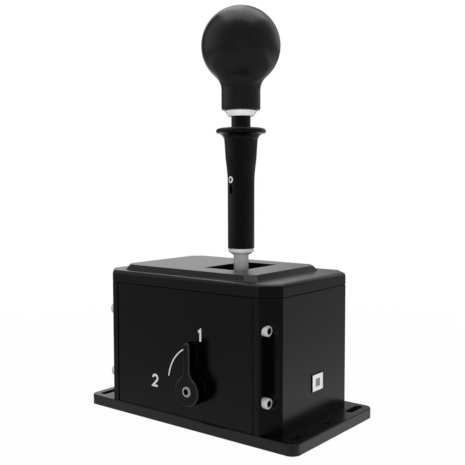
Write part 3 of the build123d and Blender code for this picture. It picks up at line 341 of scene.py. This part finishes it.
# soft edges on the milled plates, widths in mm
softEdges = {"base_plate": 0.5, "front_end_cap": 0.35, "rear_end_cap": 0.35, "lever_side_plate": 0.25,
             "plain_side_plate": 0.25, "top_cover": 0.3, "mode_lever": 0.5, "badge_plate": 0.15}
edging = {"weldMm": 0.002, "flatDeg": 0.8, "sharpDeg": 28, "segments": 3}
for name, width in softEdges.items():
    piece = nodes[name]
    weld = piece.modifiers.new("weld", "WELD")
    weld.merge_threshold = edging["weldMm"] * mm
    flat = piece.modifiers.new("flat", "DECIMATE")
    flat.decimate_type = "DISSOLVE"
    flat.angle_limit = math.radians(edging["flatDeg"])
    bevel = piece.modifiers.new("bevel", "BEVEL")
    bevel.width = width * mm
    bevel.segments = edging["segments"]
    bevel.limit_method = "ANGLE"
    bevel.angle_limit = math.radians(edging["sharpDeg"])
    bevel.harden_normals = True
    bevel.use_clamp_overlap = True


def addPiece(name, mesh, material, body):
    piece = bpy.data.objects.new(name, mesh)
    scene.collection.objects.link(piece)
    mesh.materials.append(material)
    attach(piece, body)


sharpestMitre = 0.4  # a mitre reaches out no further than half the width divided by this


def strokeMesh(name, points, closed, width, thick, toWorld):
    # a flat ribbon with square ends and mitred corners, printed on a surface
    mesh = bpy.data.meshes.new(name)
    build = bmesh.new()
    count = len(points)
    rails = []
    for i, (u, v) in enumerate(points):
        point = Vector((u, v))
        directions = []
        if i > 0 or closed:
            directions.append((point - Vector(points[i - 1])).normalized())
        if i < count - 1 or closed:
            directions.append((Vector(points[(i + 1) % count]) - point).normalized())
        along = sum(directions, Vector((0, 0))).normalized()
        side = Vector((-along.y, along.x))
        square = Vector((-directions[0].y, directions[0].x))
        reach = width / 2 / max(sharpestMitre, abs(side.dot(square)))
        rails.append([build.verts.new(toWorld(u + side.x * reach * s, v + side.y * reach * s, lift))
                      for s, lift in ((1, 0), (1, thick), (-1, thick), (-1, 0))])
    for i in range(count if closed else count - 1):
        near, far = rails[i], rails[(i + 1) % count]
        for k in range(4):
            build.faces.new((near[k], far[k], far[(k + 1) % 4], near[(k + 1) % 4]))
    if not closed:
        build.faces.new(rails[0])
        build.faces.new(rails[-1][::-1])
    bmesh.ops.recalc_face_normals(build, faces=build.faces)
    build.to_mesh(mesh)
    build.free()
    return mesh


def arcPoints(radius, start, end, steps, centre=(0, 0)):
    # angles in degrees, measured from straight up towards -X
    angles = [math.radians(start + (end - start) * i / steps) for i in range(steps + 1)]
    return [(centre[0] - radius * math.sin(a), centre[1] + radius * math.cos(a)) for a in angles]


# arc and numerals printed beside the mode lever, placed by the photo in mm on the side plate; a numeral's
# shares are of its height
arcMark = {"at": (15.4, 29.4), "radiusMm": 26.5, "fromDeg": 30.1, "toDeg": 82.7, "steps": 28,
           "widthMm": 0.95}
numeral = {"highMm": 7.4, "widthMm": 1.5, "oneAt": (16.8, 63.3), "twoAt": (-23.6, 27.5),
           "flagShare": 0.2, "stemShare": 0.04,
           "bowShare": 0.29, "bowFromDeg": 80, "bowToDeg": -125, "steps": 14}
panelInkMm = 0.06
panelY = wallLow.y / mm


def onPanel(x, z, lift):
    return Vector((x * mm, (panelY - lift) * mm, z * mm))


def numeralOne():
    x, z = numeral["oneAt"]
    high = numeral["highMm"]
    top, foot = z + high / 2, z - high / 2
    flag, stem = high * numeral["flagShare"], x + high * numeral["stemShare"]
    return [(x - flag, top - flag), (stem, top), (stem, foot)]


def numeralTwo():
    x, z = numeral["twoAt"]
    high = numeral["highMm"]
    top, foot = z + high / 2, z - high / 2
    bow = high * numeral["bowShare"]
    curve = arcPoints(bow, numeral["bowFromDeg"], numeral["bowToDeg"], numeral["steps"], (x, top - bow))
    return curve + [(x - bow, foot), (x + bow, foot)]


inkArc = arcPoints(arcMark["radiusMm"], arcMark["fromDeg"], arcMark["toDeg"], arcMark["steps"],
                   arcMark["at"])
panelMarks = {
    "printedArc": (inkArc, arcMark["widthMm"]),
    "numeralOne": (numeralOne(), numeral["widthMm"]),
    "numeralTwo": (numeralTwo(), numeral["widthMm"]),
}
for name, (points, width) in panelMarks.items():
    mesh = strokeMesh(name, points, False, width, panelInkMm, onPanel)
    addPiece(name, mesh, printedInk, "housing")

# small ring printed on the sleeve above its guide slot
sleeveMark = {"zMm": 164.0, "radiusMm": 1.75, "widthMm": 1.1, "steps": 28,
              "onRadiusMm": 9.42, "turnDeg": -12, "inkMm": 0.08}


def onSleeve(u, v, lift):
    # wraps a flat mark round the sleeve
    reach = sleeveMark["onRadiusMm"] + lift
    turn = u / reach + math.radians(sleeveMark["turnDeg"])
    return Vector(((stickX + reach * math.sin(turn)) * mm, -reach * math.cos(turn) * mm, v * mm))


ringPoints = arcPoints(sleeveMark["radiusMm"], 0, 360, sleeveMark["steps"], (0, sleeveMark["zMm"]))[:-1]
ringMesh = strokeMesh("sleeveRingMark", ringPoints, True, sleeveMark["widthMm"], sleeveMark["inkMm"],
                      onSleeve)
addPiece("sleeveRingMark", ringMesh, printedInk, "lift_sleeve")

# white field printed on the badge plate, with a plain grey square where a mark would be
badge = {"insetMm": 0.55, "inkMm": 0.05, "squareMm": 5.2}
badgeLow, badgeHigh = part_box("badge_plate")
badgeMid = ((badgeLow + badgeHigh) / 2) / mm
badgeWide = (badgeHigh.y - badgeLow.y) / mm - 2 * badge["insetMm"]
badgeTall = (badgeHigh.z - badgeLow.z) / mm - 2 * badge["insetMm"]


def onBadge(y, z, lift):
    return Vector((badgeHigh.x + lift * mm, y * mm, z * mm))


def onBadgeField(y, z, lift):
    return onBadge(y, z, lift + badge["inkMm"])


def patchMesh(name, wide, tall, surface):
    # a rectangle in the middle of the badge, drawn as one broad stroke
    ends = [(badgeMid.y - wide / 2, badgeMid.z), (badgeMid.y + wide / 2, badgeMid.z)]
    return strokeMesh(name, ends, False, tall, badge["inkMm"], surface)


fieldMesh = patchMesh("badgeField", badgeWide, badgeTall, onBadge)
addPiece("badgeField", fieldMesh, whiteEnamel, "housing")
squareMesh = patchMesh("badgeSquare", badge["squareMm"], badge["squareMm"], onBadgeField)
addPiece("badgeSquare", squareMesh, greyInk, "housing")
print("marks printed")

# the floor is white to the camera and keeps a trace of the shadow close to the object
stageSize = {"floorM": 8.0, "dropMm": 0.2, "colour": "F4F4F4",
             "shadowKept": 0.03, "fadeFromM": 0.3, "fadeToM": 0.6}


def seenDirectly(tree):
    # 1 for what the camera sees itself or through glass
    path = addNode(tree, "ShaderNodeLightPath")
    return mathNode(tree, "MAXIMUM", path.outputs["Is Camera Ray"], path.outputs["Is Transmission Ray"])


def paleFloor(name, size):
    material, tree = newMaterial(name)
    far = vectorNode(tree, "LENGTH", addNode(tree, "ShaderNodeTexCoord").outputs["Object"])
    kept = rangeNode(tree, far, size["fadeFromM"], size["fadeToM"], size["shadowKept"], 0)
    share = mathNode(tree, "MULTIPLY", seenDirectly(tree), mathNode(tree, "SUBTRACT", 1, kept))
    matte = addNode(tree, "ShaderNodeBsdfDiffuse", {"Color": hexColour(size["colour"])})
    glow = addNode(tree, "ShaderNodeEmission", {"Color": (1, 1, 1, 1), "Strength": 1})
    both = addNode(tree, "ShaderNodeMixShader", {0: share, 1: matte.outputs[0], 2: glow.outputs[0]})
    addNode(tree, "ShaderNodeOutputMaterial", {"Surface": both.outputs[0]})
    return material


floorMesh = bpy.data.meshes.new("floor")
half = stageSize["floorM"] / 2
floorCorners = [(-half, -half, 0), (half, -half, 0), (half, half, 0), (-half, half, 0)]
floorMesh.from_pydata(floorCorners, [], [(0, 1, 2, 3)])
floor = bpy.data.objects.new("floor", floorMesh)
floor.location.z = -stageSize["dropMm"] * mm
floor.visible_glossy = False
scene.collection.objects.link(floor)
floorMesh.materials.append(paleFloor("paleFloor", stageSize))

# what the gloss mirrors, as tones by compass: 0 is the photographer's side, -90 the left, 90 the right and
# 180 the white backdrop; high is the room above eye height, level the room at it, low the table further off,
# near the table beside the object and under what lies below; each change gives the two heights between which
# the layer before it gives way to it
studio = {
    "facesDeg": -51.9,
    "diffuseLight": 0.5,
    "high": [(-180, 1), (-161, 1), (-152, 0.03), (-134, 0.03), (-127, 0.33), (-109, 0.47), (-87, 0.42),
             (-55, 0.17), (-20, 0.1), (0, 0.09), (25, 0.1), (54, 0.13), (74, 0.17), (90, 0.2), (106, 0.24),
             (121, 0.5), (134, 0.65), (150, 0.6), (163, 0.3), (171, 0.28), (176, 0.8), (180, 1)],
    "level": [(-180, 1), (-161, 0.8), (-152, 0.03), (-134, 0.03), (-127, 0.28), (-109, 0.45), (-87, 0.45),
              (-55, 0.18), (-20, 0.11), (0, 0.1), (25, 0.11), (54, 0.15), (74, 0.18), (96, 0.2), (110, 0.2),
              (126, 0.15), (150, 0.12), (165, 0.12), (175, 0.6), (180, 1)],
    "low": [(-180, 1), (-161, 1), (-150, 0.2), (-127, 0.17), (-104, 0.17), (-55, 0.15), (-20, 0.1),
            (0, 0.1), (25, 0.12), (54, 0.18), (74, 0.22), (90, 0.27), (104, 0.3), (134, 0.4), (163, 0.4),
            (172, 1), (180, 1)],
    "near": [(-180, 1), (-161, 0.8), (-150, 0.4), (-127, 0.6), (-104, 0.6), (-55, 0.2), (-20, 0.1),
             (0, 0.1), (20, 0.12), (60, 0.3), (80, 0.6), (92, 1.1), (112, 1.2), (124, 0.7), (140, 0.6),
             (180, 1)],
    "under": 0.2,
    "changes": {"level": (0.15, 0.06), "low": (-0.02, -0.09),
                "near": (-0.265, -0.3), "under": (-0.32, -0.4)},
}
world = bpy.data.worlds.new("studio")
scene.world = world
world.use_nodes = True
tree = world.node_tree
tree.nodes.clear()


def compassTone(position, stops):
    # the first and last stop are the ramp's own two ends
    ramp = addNode(tree, "ShaderNodeValToRGB", {"Fac": position})
    elements = ramp.color_ramp.elements
    elements[0].position, elements[1].position = 0, 1
    for degrees, tone in stops[1:-1]:
        elements.new((degrees + 180) / 360)
    for element, (degrees, tone) in zip(elements, stops):
        element.color = (tone, tone, tone, 1)
    return ramp.outputs["Color"]


def blend(factor, first, second):
    return addNode(tree, "ShaderNodeMix", {"data_type": "FLOAT", 0: factor, 2: first, 3: second}).outputs[0]


direction = addNode(tree, "ShaderNodeTexCoord").outputs["Generated"]
split = addNode(tree, "ShaderNodeSeparateXYZ", {0: direction})
angle = mathNode(tree, "ARCTAN2", split.outputs["Y"], split.outputs["X"])
turned = mathNode(tree, "SUBTRACT", angle, math.radians(studio["facesDeg"]))
wrapped = mathNode(tree, "WRAP", turned, math.pi, -math.pi)
compass = rangeNode(tree, wrapped, -math.pi, math.pi)
mirrored = compassTone(compass, studio["high"])
for layer, heights in studio["changes"].items():
    change = rangeNode(tree, split.outputs["Z"], *heights)
    tones = studio[layer]
    mirrored = blend(change, mirrored, compassTone(compass, tones) if isinstance(tones, list) else tones)
glossy = addNode(tree, "ShaderNodeLightPath").outputs["Is Glossy Ray"]
strength = blend(seenDirectly(tree), blend(glossy, studio["diffuseLight"], mirrored), 1)
back = addNode(tree, "ShaderNodeBackground", {"Color": (1, 1, 1, 1), "Strength": strength})
addNode(tree, "ShaderNodeOutputWorld", {"Surface": back.outputs[0]})

# one wide softbox overhead and a little behind lays the highlight on the knob's crown; the fill beside the
# camera lights paint and frosted metal only, so that white ink looks white
lamps = {
    "overheadSoftbox": {"place": (-0.1, 0.22, 1.5), "aim": (stickX * mm, 0, 0.25),
                        "sizeM": 1.6, "watts": 10, "mirrored": True},
    "frontFill": {"place": (0.75, -0.95, 0.12), "aim": (stickX * mm, 0, 0.15),
                  "sizeM": 0.6, "watts": 8, "mirrored": False},
}
for name, setting in lamps.items():
    light = bpy.data.lights.new(name, "AREA")
    light.shape = "SQUARE"
    light.size = setting["sizeM"]
    light.energy = setting["watts"]
    lamp = bpy.data.objects.new(name, light)
    lamp.location = setting["place"]
    lamp.rotation_mode = "QUATERNION"
    lamp.rotation_quaternion = (Vector(setting["aim"]) - Vector(setting["place"])).to_track_quat("-Z", "Y")
    lamp.visible_camera = False
    lamp.visible_glossy = setting["mirrored"]
    scene.collection.objects.link(lamp)

# camera fitted to the photo's edges: a view from the front right, a little downwards; angles in radians
shot = {"place": (0.32702, -0.40854, 0.16371), "yaw": 0.66612, "pitch": 0.0689, "roll": -0.00224,
        "lensMm": 57.61, "sensorMm": 36, "shiftY": -0.00239, "clipM": (0.01, 20)}
lens = bpy.data.cameras.new("camera")
lens.lens = shot["lensMm"]
lens.sensor_width = shot["sensorMm"]
lens.shift_y = shot["shiftY"]
lens.clip_start, lens.clip_end = shot["clipM"]
level = Vector((math.cos(shot["yaw"]), math.sin(shot["yaw"]), 0))
forward = Vector((-math.sin(shot["yaw"]), math.cos(shot["yaw"]), 0))
ahead = forward * math.cos(shot["pitch"]) - Vector((0, 0, math.sin(shot["pitch"])))
right = (level * math.cos(shot["roll"]) + level.cross(ahead) * math.sin(shot["roll"])).normalized()
upward = right.cross(ahead)
cameraObject = bpy.data.objects.new("camera", lens)
turn = Matrix((right, upward, -ahead)).transposed().to_4x4()
cameraObject.matrix_world = Matrix.Translation(shot["place"]) @ turn
scene.collection.objects.link(cameraObject)
scene.camera = cameraObject
print("stage set")
